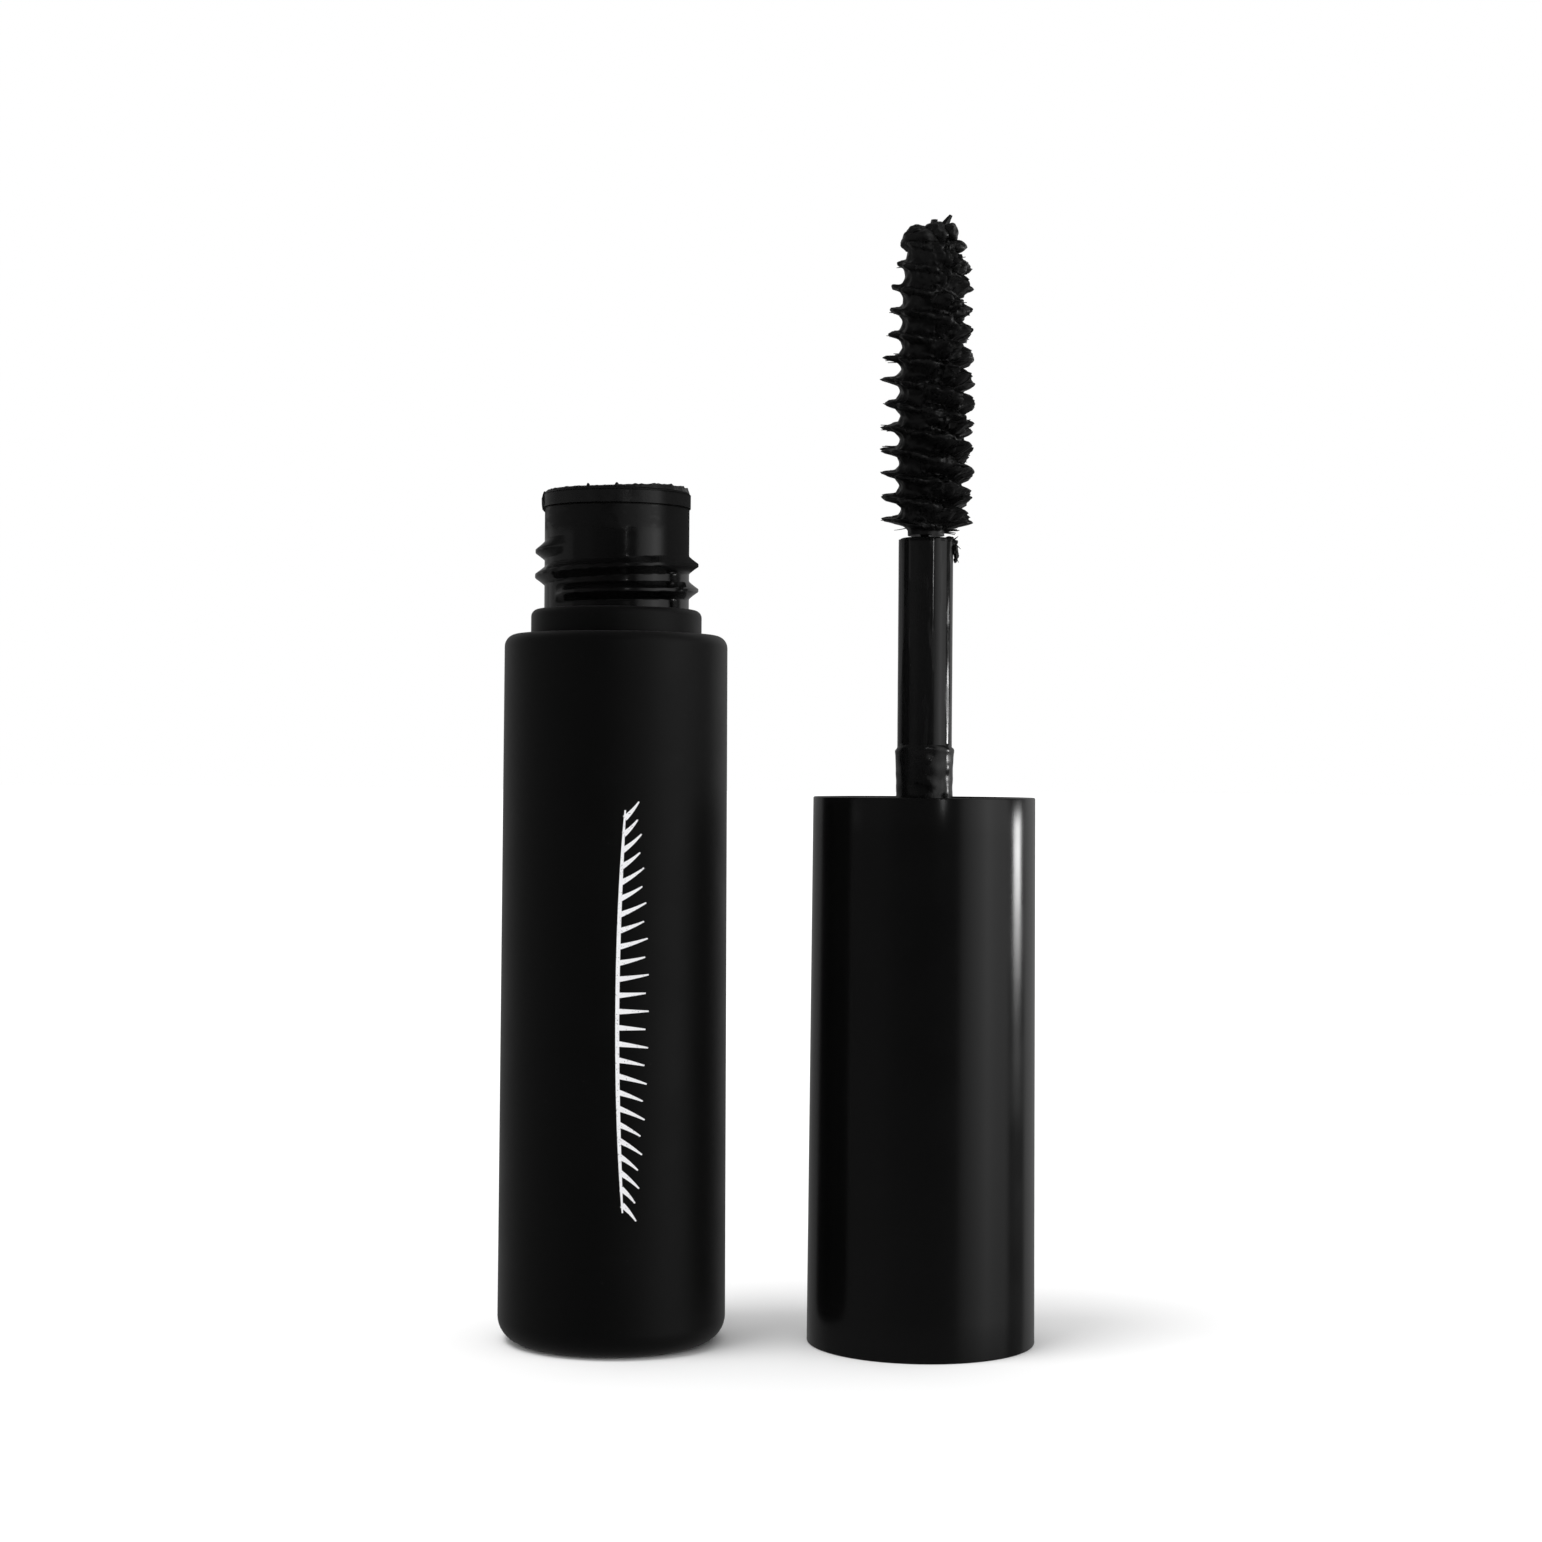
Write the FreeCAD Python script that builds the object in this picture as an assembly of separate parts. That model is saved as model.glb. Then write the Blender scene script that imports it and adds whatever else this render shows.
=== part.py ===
"""Mascara tube, opened: the bottle stands beside its upturned cap, whose wand points up.

Millimetres, +Z up. The origin is on the surface, midway between the two upright axes.
The cap pieces are placed as they stand here. Half a turn about the line x = 0,
z = CLOSED_HEIGHT / 2 that runs along Y puts them back on the bottle.
"""
import FreeCAD, Part
import math
import os

V = FreeCAD.Vector

# --- where the two halves stand ------------------------------------------------------------
AXIS_SPACING = 24.6
BOTTLE_X = -AXIS_SPACING / 2
CAP_X = AXIS_SPACING / 2

# --- bottle --------------------------------------------------------------------------------
BODY_BASE_R = 9.06
BODY_SHOULDER_R = 8.85
BODY_H = 56.0
BASE_RIM_R = 2.0
SHOULDER_RIM_R = 1.0
COLLAR_R = 6.78
COLLAR_TOP = 58.0
COLLAR_RIM_R = 0.6
NECK_R = 5.75
NECK_TOP = 66.1
BORE_R = 4.4
RESERVOIR_R = 7.6
RESERVOIR_FLOOR = 1.6
RESERVOIR_SHOULDER = 53.4
RESERVOIR_RISE = 1.0
RESERVOIR_RIM_R = 1.0

# --- screw thread, right-handed, on the neck and inside the cap ----------------------------
PITCH = 2.0
THREAD_R = 6.5
THREAD_START_Z = 58.8
THREAD_START_DEG = -146.0
THREAD_TURNS = 1.95
RIDGE_BASE = 1.6
RIDGE_CREST = 0.35
SOCKET_R = 6.65
SOCKET_THREAD_R = 5.98
SOCKET_RIDGE_BASE = 1.0
SOCKET_RIDGE_CREST = 0.4
SOCKET_TURNS = 1.5
SOCKET_THREAD_SHUT_Z = 62.1
ROOT_DEPTH = 0.1

# --- wiper in the neck ---------------------------------------------------------------------
FLANGE_R = 5.85
FLANGE_H = 1.2
FLANGE_RIM_R = 0.25
WIPER_BORE_R = 3.8
WIPER_CONE_TOP = 57.0
WIPER_LIP_Z = 52.1
LIP_WALL = 0.45

# --- mascara in the bottle -----------------------------------------------------------------
PASTE_TOP = 43.5
PASTE_GAP = 0.05

# --- cap -----------------------------------------------------------------------------------
CAP_H = 43.3
CAP_END_R = 9.05
CAP_MOUTH_R = 8.82
CAP_BORE_R = 7.85
CAP_END_WALL = 1.5
CAP_EDGE = 0.12
CLOSED_GAP = 0.1
CLOSED_HEIGHT = BODY_H + CLOSED_GAP + CAP_H

# --- threaded inner cap, its seat, and the washer on the seat ------------------------------
INNER_MOUTH_Z = 41.0
INNER_FOOT_Z = 10.0
INNER_SKIRT_R = 7.0
SEAT_H = 1.4
WASHER_H = 0.9
WASHER_R = 5.6
WASHER_FIT = 0.05
WASHER_PLAY = 0.04
HUB_R = 3.4
HUB_FLOOR_Z = 13.4
HUB_WALL = 1.2
RIB_COUNT = 4
RIB_T = 0.8

# --- wand ----------------------------------------------------------------------------------
ROD_R = 2.17
ROD_TOP = 63.9
ROD_TOP_RIM_R = 0.35
WIRE_R = 0.55
WIRE_FOOT_Z = 58.0
WIRE_TOP = 89.3
BRUSH_FOOT_Z = 64.5
BRUSH_FULL_Z = 65.6
BRUSH_TAPER_Z = 72.8
BRUSH_TOP = 89.7
BRUSH_FOOT_R = 1.9
BRUSH_R = 3.66
BRUSH_MID_R = 3.1
BRUSH_END_R = 1.9
BRUSH_MID_Z = 82.0
BRUSH_END_Z = 88.6
BRUSH_TIP_R = 0.9

# How far a cutting cylinder runs past what it cuts.
CUT_PAST = 1.0


def flange_top():
    return NECK_TOP + FLANGE_H


def seat_z():
    """Height of the seat, found from the wiper flange that the washer meets when shut."""
    return CLOSED_HEIGHT - flange_top() - WASHER_H - 2 * WASHER_PLAY


def revolve(x, corners, rims=None):
    """Solid of revolution about the upright axis at x, from (r, z) corners.

    rims maps a corner's index to the radius that rounds it.
    """
    rims = rims or {}
    edges = []
    count = len(corners)
    starts = [V(r, 0, z) for r, z in corners]
    ends = [V(r, 0, z) for r, z in corners]
    arcs = {}
    for index, radius in rims.items():
        here = V(corners[index][0], 0, corners[index][1])
        before = V(corners[index - 1][0], 0, corners[index - 1][1])
        after = V(corners[(index + 1) % count][0], 0, corners[(index + 1) % count][1])
        back = (before - here).normalize()
        ahead = (after - here).normalize()
        half = back.getAngle(ahead) / 2
        reach = radius / math.tan(half)
        bisector = (back + ahead).normalize()
        starts[index] = here + back * reach
        ends[index] = here + ahead * reach
        centre = here + bisector * (radius / math.sin(half))
        arcs[index] = centre - bisector * radius
    for index in range(count):
        if index in arcs:
            edges.append(Part.Arc(starts[index], arcs[index], ends[index]).toShape())
        following = starts[(index + 1) % count]
        edges.append(Part.LineSegment(ends[index], following).toShape())
    face = Part.Face(Part.Wire(edges))
    solid = face.revolve(V(0, 0, 0), V(0, 0, 1), 360)
    solid.translate(V(x, 0, 0))
    return solid


def disc(x, radius, low, high):
    return Part.makeCylinder(radius, high - low, V(x, 0, low))


def helical_ridge(x, root_r, crest_r, base, crest, start_z, start_deg, turns):
    """Right-handed ridge of trapezium section, from its root radius to its crest radius.

    The section runs on past the root, with the same flanks, so that it bites into the wall.
    """
    spread = (base - crest) / abs(crest_r - root_r)
    foot_r = root_r + math.copysign(ROOT_DEPTH, root_r - crest_r)
    foot = base + spread * ROOT_DEPTH
    section = Part.makePolygon([
        V(foot_r, 0, start_z - foot / 2),
        V(crest_r, 0, start_z - crest / 2),
        V(crest_r, 0, start_z + crest / 2),
        V(foot_r, 0, start_z + foot / 2),
        V(foot_r, 0, start_z - foot / 2),
    ])
    spine = Part.makeHelix(PITCH, PITCH * turns, root_r)
    spine.translate(V(0, 0, start_z))
    ridge = Part.Wire(spine.Edges).makePipeShell([section], True, True)
    ridge.rotate(V(0, 0, 0), V(0, 0, 1), start_deg)
    ridge.translate(V(x, 0, 0))
    return ridge


def make_bottle():
    """One moulding: body, collar and threaded neck, with the reservoir inside."""
    outside = [
        (0, 0),
        (BODY_BASE_R, 0),
        (BODY_SHOULDER_R, BODY_H),
        (COLLAR_R, BODY_H),
        (COLLAR_R, COLLAR_TOP),
        (NECK_R, COLLAR_TOP),
        (NECK_R, NECK_TOP),
        (0, NECK_TOP),
    ]
    rims = {1: BASE_RIM_R, 2: SHOULDER_RIM_R, 4: COLLAR_RIM_R}
    shell = revolve(BOTTLE_X, outside, rims)
    shell = shell.fuse(
        helical_ridge(BOTTLE_X, NECK_R, THREAD_R, RIDGE_BASE, RIDGE_CREST,
                      THREAD_START_Z, THREAD_START_DEG, THREAD_TURNS)
    )
    hollow = [
        (0, RESERVOIR_FLOOR),
        (RESERVOIR_R, RESERVOIR_FLOOR),
        (RESERVOIR_R, RESERVOIR_SHOULDER),
        (BORE_R, RESERVOIR_SHOULDER + RESERVOIR_RISE),
        (BORE_R, NECK_TOP),
        (0, NECK_TOP),
    ]
    return shell.cut(revolve(BOTTLE_X, hollow, {1: RESERVOIR_RIM_R}))


def make_wiper():
    """Soft sleeve pressed into the neck: rim flange, bore, cone and lip."""
    corners = [
        (WIPER_BORE_R, flange_top()),
        (WIPER_BORE_R, WIPER_CONE_TOP),
        (ROD_R + WASHER_FIT, WIPER_LIP_Z),
        (ROD_R + WASHER_FIT + LIP_WALL, WIPER_LIP_Z),
        (BORE_R, WIPER_CONE_TOP),
        (BORE_R, NECK_TOP),
        (FLANGE_R, NECK_TOP),
        (FLANGE_R, flange_top()),
    ]
    return revolve(BOTTLE_X, corners, {7: FLANGE_RIM_R})


def make_mascara_paste():
    radius = RESERVOIR_R - PASTE_GAP
    low = RESERVOIR_FLOOR + PASTE_GAP
    corners = [(0, low), (radius, low), (radius, PASTE_TOP), (0, PASTE_TOP)]
    return revolve(BOTTLE_X, corners, {1: RESERVOIR_RIM_R})


def make_outer_cap():
    """Straight-sided cover, closed below as it stands and open above."""
    corners = [
        (0, 0),
        (CAP_END_R, 0),
        (CAP_MOUTH_R, CAP_H),
        (CAP_BORE_R, CAP_H),
        (CAP_BORE_R, CAP_END_WALL),
        (0, CAP_END_WALL),
    ]
    return revolve(CAP_X, corners, {1: CAP_EDGE, 2: CAP_EDGE, 3: CAP_EDGE})


def make_inner_cap():
    """Threaded socket, seat, hub for the rod, and the skirt that the cover is pressed on."""
    seat = seat_z()
    under_seat = seat - SEAT_H
    corners = [
        (0, HUB_FLOOR_Z),
        (HUB_R, HUB_FLOOR_Z),
        (HUB_R, under_seat),
        (INNER_SKIRT_R, under_seat),
        (INNER_SKIRT_R, INNER_FOOT_Z),
        (CAP_BORE_R, INNER_FOOT_Z),
        (CAP_BORE_R, INNER_MOUTH_Z),
        (SOCKET_R, INNER_MOUTH_Z),
        (SOCKET_R, seat),
        (ROD_R, seat),
        (ROD_R, HUB_FLOOR_Z + HUB_WALL),
        (0, HUB_FLOOR_Z + HUB_WALL),
    ]
    body = revolve(CAP_X, corners)
    rib_size = (INNER_SKIRT_R - HUB_R + 2 * ROOT_DEPTH, RIB_T, under_seat - HUB_FLOOR_Z)
    rib_corner = V(HUB_R - ROOT_DEPTH, -RIB_T / 2, HUB_FLOOR_Z)
    for index in range(RIB_COUNT):
        rib = Part.makeBox(*rib_size, rib_corner)
        rib.rotate(V(0, 0, 0), V(0, 0, 1), 360 / RIB_COUNT * (index + 0.5))
        rib.translate(V(CAP_X, 0, 0))
        body = body.fuse(rib)
    return body.fuse(socket_thread())


def socket_thread():
    """Ridge inside the socket that lies half a pitch from the neck's ridge when the cap is shut.

    Shutting carries a direction a to 180 - a and a height z to CLOSED_HEIGHT - z.
    """
    offset = THREAD_START_Z + PITCH / 2 - SOCKET_THREAD_SHUT_Z
    start_deg = 180 - THREAD_START_DEG + 360 * offset / PITCH
    start_z = CLOSED_HEIGHT - SOCKET_THREAD_SHUT_Z
    return helical_ridge(CAP_X, SOCKET_R, SOCKET_THREAD_R, SOCKET_RIDGE_BASE, SOCKET_RIDGE_CREST,
                         start_z, start_deg, SOCKET_TURNS)


def make_cap_washer():
    """Sealing ring that lies loose on the seat, round the rod."""
    low = seat_z() + WASHER_PLAY
    ring = disc(CAP_X, WASHER_R, low, low + WASHER_H)
    return ring.cut(disc(CAP_X, ROD_R + WASHER_FIT, low - CUT_PAST, low + WASHER_H + CUT_PAST))


def make_rod():
    """Wand stem: its foot is pressed into the hub and its top holds the brush wire."""
    foot = HUB_FLOOR_Z + HUB_WALL
    corners = [(0, foot), (ROD_R, foot), (ROD_R, ROD_TOP), (0, ROD_TOP)]
    stem = revolve(CAP_X, corners, {2: ROD_TOP_RIM_R})
    return stem.cut(disc(CAP_X, WIRE_R, WIRE_FOOT_Z, ROD_TOP + CUT_PAST))


def make_brush_wire():
    return disc(CAP_X, WIRE_R, WIRE_FOOT_Z, WIRE_TOP)


def make_bristles():
    """Outer shape of the loaded bristles, round the wire."""
    corners = [
        (0, BRUSH_FOOT_Z),
        (BRUSH_FOOT_R, BRUSH_FOOT_Z),
        (BRUSH_R, BRUSH_FULL_Z),
        (BRUSH_R, BRUSH_TAPER_Z),
        (BRUSH_MID_R, BRUSH_MID_Z),
        (BRUSH_END_R, BRUSH_END_Z),
        (BRUSH_TIP_R, BRUSH_TOP),
        (0, BRUSH_TOP),
    ]
    return revolve(CAP_X, corners).cut(make_brush_wire())


NODES = {
    "bottle": make_bottle,
    "wiper": make_wiper,
    "mascara_paste": make_mascara_paste,
    "outer_cap": make_outer_cap,
    "inner_cap": make_inner_cap,
    "cap_washer": make_cap_washer,
    "rod": make_rod,
    "brush_wire": make_brush_wire,
    "bristles": make_bristles,
}

os.makedirs("parts", exist_ok=True)
for name, make in NODES.items():
    shape = make()
    shape.exportStep(f"parts/{name}.step")
    print(name, shape.isValid(), len(shape.Solids), round(shape.Volume, 1))
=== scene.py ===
import math

import bmesh
import bpy
import numpy as np
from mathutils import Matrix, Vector, noise


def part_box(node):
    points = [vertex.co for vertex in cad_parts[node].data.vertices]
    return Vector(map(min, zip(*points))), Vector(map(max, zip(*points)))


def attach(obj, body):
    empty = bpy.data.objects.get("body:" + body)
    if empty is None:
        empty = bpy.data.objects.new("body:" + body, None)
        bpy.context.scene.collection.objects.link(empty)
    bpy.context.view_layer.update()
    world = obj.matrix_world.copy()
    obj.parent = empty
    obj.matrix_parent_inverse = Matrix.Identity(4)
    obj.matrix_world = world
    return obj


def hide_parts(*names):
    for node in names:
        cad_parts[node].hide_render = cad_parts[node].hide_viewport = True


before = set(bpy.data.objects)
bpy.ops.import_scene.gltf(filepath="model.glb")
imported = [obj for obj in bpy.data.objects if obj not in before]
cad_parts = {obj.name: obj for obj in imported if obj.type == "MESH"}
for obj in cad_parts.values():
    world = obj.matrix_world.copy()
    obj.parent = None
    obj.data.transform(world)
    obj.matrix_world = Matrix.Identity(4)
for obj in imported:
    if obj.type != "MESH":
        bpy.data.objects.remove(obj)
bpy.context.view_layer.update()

MM = 0.001


def box_mm(node):
    """Lowest and highest corner of a CAD node, in millimetres."""
    low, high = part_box(node)
    return np.array(low) / MM, np.array(high) / MM


def axis_and_radius(node):
    low, high = box_mm(node)
    return (low[0] + high[0]) / 2, (high[1] - low[1]) / 2


# --- places and sizes read from the frame, in millimetres -------------------------------------
BOTTLE_X, BODY_BASE_R = axis_and_radius("bottle")
CAP_X, CAP_END_R = axis_and_radius("outer_cap")
ROD_R = axis_and_radius("rod")[1]
WIRE_R = axis_and_radius("brush_wire")[1]
FLANGE_R = axis_and_radius("wiper")[1]
NECK_TOP = box_mm("bottle")[1][2]
WIPER_LIP_Z = box_mm("wiper")[0][2]
FLANGE_TOP = box_mm("wiper")[1][2]
CAP_H = box_mm("outer_cap")[1][2]
ROD_FOOT = box_mm("rod")[0][2]
ROD_TOP = box_mm("rod")[1][2]
WIRE_FOOT = box_mm("brush_wire")[0][2]
WIRE_TOP = box_mm("brush_wire")[1][2]
BRUSH_FOOT = box_mm("bristles")[0][2]
BRUSH_TOP = box_mm("bristles")[1][2]
BRUSH_R = axis_and_radius("bristles")[1]

# --- the bottle's own outline -----------------------------------------------------------------
BODY_SHOULDER_R = 8.85
BODY_H = 56.0
BASE_RIM_R = 2.0
SHOULDER_RIM_R = 1.0
COLLAR_R = 6.78
COLLAR_TOP = 58.0
COLLAR_RIM_R = 0.6
NECK_R = 5.75
NECK_RIM_R = 0.15
BORE_R = 4.4
RESERVOIR_R = 7.6
RESERVOIR_FLOOR = 1.6
RESERVOIR_SHOULDER = 53.4
THREAD_R = 6.5
THREAD_PITCH = 2.0
THREAD_START_Z = 58.8
THREAD_START_DEG = -146.0
THREAD_TURNS = 2.05
RIDGE_HALF = 0.72
CREST_HALF = 0.12
FLANK_POWER = 1.15
RUN_IN_DEG = 32.0
RUN_OUT_DEG = 55.0
START_LIFT = 0.25
LIFT_DEG = 110.0

# --- the cap, wiper and rod -------------------------------------------------------------------
CAP_MOUTH_R = 8.82
CAP_BORE_R = 7.85
CAP_END_WALL = 1.5
CAP_EDGE = 0.12
WIPER_BORE_R = 3.8
WIPER_CONE_TOP = 57.0
WIPER_LIP_R = 2.22
WIPER_LIP_WALL = 0.45
SLEEVE_TOP = 47.2
SLEEVE_THICK = 0.14
SMEAR_FROM = 3.3
SMEAR_FULL = 4.3
SMEAR_LOW = 60.8
SMEAR_FADE = 0.5
SMEAR_ROUGHNESS = 0.85
BAND_LOW = 63.6
BAND_FULL = 64.9
BAND_ROUGHNESS = 0.42

# --- the brush, wound left-handed from two starts ---------------------------------------------
FIN_LEAD = 3.71
FIN_STARTS = 2
FIN_LOW = 65.25
FIN_HIGH = 87.9
FIN_NOISE_R = 3
BRUSH_LEAN = 0.25
WIRE_CUT = 0.8
BEND_FROM = 74.0
BEND_TO = 86.0

# --- the printed mark: a plain fringe of lashes on a gently bowed line ------------------------
PRINT_START = math.radians(4.0)
PRINT_LOW = 11.4
PRINT_HIGH = 42.2
LASH_COUNT = 25
LID_HALF = 0.15
LID_BOW = 0.5
LID_TAPER = 0.6
LASH_SHORT = 1.35
LASH_SWELL = 1.1
LASH_FAN = math.radians(42)
LASH_CURL = 0.35
LASH_HALF = 0.22
LASH_TAPER = 0.75
EVERY_OTHER_SHORTER = 0.25
INK_LIFT = 0.012
INK_BITE = 0.03

# --- stage: camera in millimetres, fill light, and what reflections see -----------------------
CAMERA_DISTANCE = 222.2
CAMERA_HEIGHT = 45.28
CAMERA_X = 0.09
CAMERA_ROLL = math.radians(0.42)
LENS = 65.13
SENSOR_WIDTH = 36.0
FILL = 0.95

# What reflections see: brightness by direction in degrees, round the object (0 is towards the
# camera) times upwards, plus a glow by height.
AROUND_STOPS = [
    (-180, 0.22), (-143, 0.18), (-128, 0.14), (-116, 0.05), (-98, 0.04), (-88, 0.07),
    (-45, 0.065), (-30, 0.03), (0, 0.015), (15, 0.02), (28, 0.04), (33, 0.06), (37, 0.30),
    (45, 0.50), (58, 0.80), (66, 1.05), (74, 0.85), (84, 0.68), (92, 0.60), (98, 0.05),
    (121, 0.06), (128, 0.45), (150, 0.34), (180, 0.16),
]
UPWARD_STOPS = [
    (-90, 0.02), (-45, 0.05), (-25, 0.15), (-12, 0.42), (-7, 0.72), (-1, 1.0), (10, 1.05),
    (30, 0.8), (60, 0.3), (90, 0.2),
]
GLOW_STOPS = [(-90, 0.10), (-30, 0.10), (-12, 0.075), (-6, 0.03), (0, 0.0), (2, 0.03), (90, 0.03)]

# The key light comes from above on the left. Each panel: name, azimuth and elevation in degrees,
# (width, height) in metres, power in watts, and the pieces it lights, or None for all.
SUN_STRENGTH = 1.3
SUN_ANGLE = math.radians(24)
SUN_FROM = (-0.55, -0.35, 1.6)
PANEL_DISTANCE = 1.0
PANELS = [
    ("side_strip", 107.5, -0.6, (0.165, 0.072), 0.23, None),
    ("left_glow", -102.0, 4.7, (1.2, 0.085), 0.04, None),
    ("high_line", 17.0, 15.6, (0.007, 0.28), 0.16, None),
    ("cap_strip", 108.8, -0.4, (0.22, 0.105), 0.78,
     ("cap_cover", "rod_stem", "brush_fins", "tip_blob")),
    ("rod_line", 30.0, 5.4, (0.032, 0.028), 0.035, ("rod_stem",)),
]
FLOOR_HALF = 6.0
FLOOR_TONE = 0.9

# --- mesh densities, hairs and their random seeds ---------------------------------------------
WALL_COLUMNS = 288
WIPER_COLUMNS = 160
FILM_COLUMNS = 300
ROD_COLUMNS = 120
FIN_COLUMNS = 220
FIN_ROWS = 400
STRAND_ROWS = 210
STRAND_SIDES = 10
LID_STEPS = 80
LASH_STEPS = 11
HAIR_SIDES = 6
HAIR_RINGS = 5
HAIR_SKEW = (0.31, 0.17, 0.93)  # a direction that no hair runs along
FILAMENTS_PER_TURN = 40
STRAY_HAIRS = 7
FILAMENT_SEED = 5
STRAY_SEED = 8


# ============================ mesh building ===================================================
def smoothstep(low, high, value):
    t = np.clip((value - low) / (high - low), 0, 1)
    return t * t * (3 - 2 * t)


def wander(points, size, seed):
    """Smooth noise from about -1 to 1 at each point, with features about size across."""
    shift = Vector((17.3 * seed, 5.1 * seed, 9.7 * seed))
    flat = points.reshape(-1, 3)
    values = [noise.noise(Vector(p) / size + shift) for p in flat]
    return np.array(values).reshape(points.shape[:-1])


def cells(points, size, seed):
    """Random steps from 0 to 1, one for each cube of size across."""
    shift = Vector((3.7 * seed, 8.3 * seed, 1.9 * seed))
    values = [noise.cell(Vector(p) / size + shift) for p in points.reshape(-1, 3)]
    return 0.5 + 0.5 * np.array(values).reshape(points.shape[:-1])


def add_piece(name, verts, faces, materials, body, face_slots=None, sharp_deg=35):
    """Makes a smooth-shaded closed mesh from points in millimetres and rides it on a body."""
    mesh = bpy.data.meshes.new(name)
    mesh.from_pydata((np.asarray(verts) * MM).tolist(), [], faces)
    if face_slots is not None:
        mesh.polygons.foreach_set("material_index", np.asarray(face_slots, np.int32))
    work = bmesh.new()
    work.from_mesh(mesh)
    bmesh.ops.remove_doubles(work, verts=work.verts, dist=1e-7)
    bmesh.ops.recalc_face_normals(work, faces=work.faces)
    work.to_mesh(mesh)
    work.free()
    mesh.polygons.foreach_set("use_smooth", np.ones(len(mesh.polygons), bool))
    mesh.set_sharp_from_angle(angle=math.radians(sharp_deg))
    for material in materials:
        mesh.materials.append(material)
    piece = bpy.data.objects.new(name, mesh)
    bpy.context.scene.collection.objects.link(piece)
    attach(piece, body)
    return piece


def grid_faces(rows, columns):
    """Quads of a grid whose every row closes on itself."""
    faces = []
    for i in range(rows - 1):
        here = i * columns
        above = here + columns
        for j in range(columns):
            k = (j + 1) % columns
            faces.append((here + j, here + k, above + k, above + j))
    return faces


def turned(axis_x, outline, columns, shape=None):
    """Points of a surface of revolution. shape(radius, height, angle) may change the radius."""
    radius = np.array([p[0] for p in outline])[:, None] * np.ones(columns)
    height = np.array([p[1] for p in outline])[:, None] * np.ones(columns)
    angle = np.arange(columns)[None, :] * (2 * math.pi / columns) + np.zeros_like(radius)
    if shape:
        radius = shape(radius, height, angle)
    return np.stack([axis_x + radius * np.cos(angle), radius * np.sin(angle), height], axis=-1)


def outline_with_rims(corners, rims, close=False, steps=6, dense=None):
    """(r, z) points through corners, with arcs at the corners that rims gives a radius.

    dense maps a corner's index to the greatest step along the run that follows it.
    """
    points = []
    count = len(corners)
    dense = dense or {}
    for index, corner in enumerate(corners):
        here = np.array(corner, float)
        if index in rims:
            before = np.array(corners[index - 1], float)
            after = np.array(corners[(index + 1) % count], float)
            points += rim_arc(here, before, after, rims[index], steps)
        else:
            points.append(here)
        if index in dense:
            target = np.array(corners[(index + 1) % count], float)
            start = points[-1]
            pieces = math.ceil(np.linalg.norm(target - start) / dense[index])
            points += [start + (target - start) * i / pieces for i in range(1, pieces)]
    if close:
        points.append(points[0])
    return points


def rim_arc(here, before, after, radius, steps):
    """Points of the arc that rounds the corner here between its two neighbours."""
    back = (before - here) / np.linalg.norm(before - here)
    ahead = (after - here) / np.linalg.norm(after - here)
    half = math.acos(np.clip(back @ ahead, -1, 1)) / 2
    bisector = (back + ahead) / np.linalg.norm(back + ahead)
    centre = here + bisector * radius / math.sin(half)
    start = here + back * radius / math.tan(half) - centre
    end = here + ahead * radius / math.tan(half) - centre
    sweep = math.acos(np.clip(start @ end / radius**2, -1, 1))
    weights = [i / steps for i in range(steps + 1)]
    return [
        centre + (start * math.sin((1 - w) * sweep) + end * math.sin(w * sweep)) / math.sin(sweep)
        for w in weights
    ]


def turned_piece(name, axis_x, outline, columns, materials, body, shape=None, pick=None):
    """A closed turned piece. pick(row points) gives each row of faces its material index."""
    points = turned(axis_x, outline, columns, shape)
    rows = len(outline)
    slots = None
    if pick:
        slots = np.repeat([pick(outline[i], outline[i + 1]) for i in range(rows - 1)], columns)
    faces = grid_faces(rows, columns)
    return add_piece(name, points.reshape(-1, 3), faces, materials, body, slots)


def blob(centre, radii, seed, roughness=0.25, detail=2):
    """Points and faces of a lumpy closed blob."""
    work = bmesh.new()
    bmesh.ops.create_icosphere(work, subdivisions=detail, radius=1)
    unit = np.array([v.co for v in work.verts])
    faces = [tuple(v.index for v in f.verts) for f in work.faces]
    work.free()
    swell = 1 + roughness * wander(unit, 0.7, seed) + 0.4 * roughness * wander(unit, 0.25, seed + 5)
    return unit * swell[:, None] * np.array(radii) + np.array(centre), faces


def blobs(axis_x, lumps, seed, roughness, detail):
    """A blob for each (centre, radii) of lumps, with the centres measured from an upright axis."""
    return [
        blob((axis_x + x, y, z), radii, seed + i, roughness, detail)
        for i, ((x, y, z), radii) in enumerate(lumps)
    ]


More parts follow.
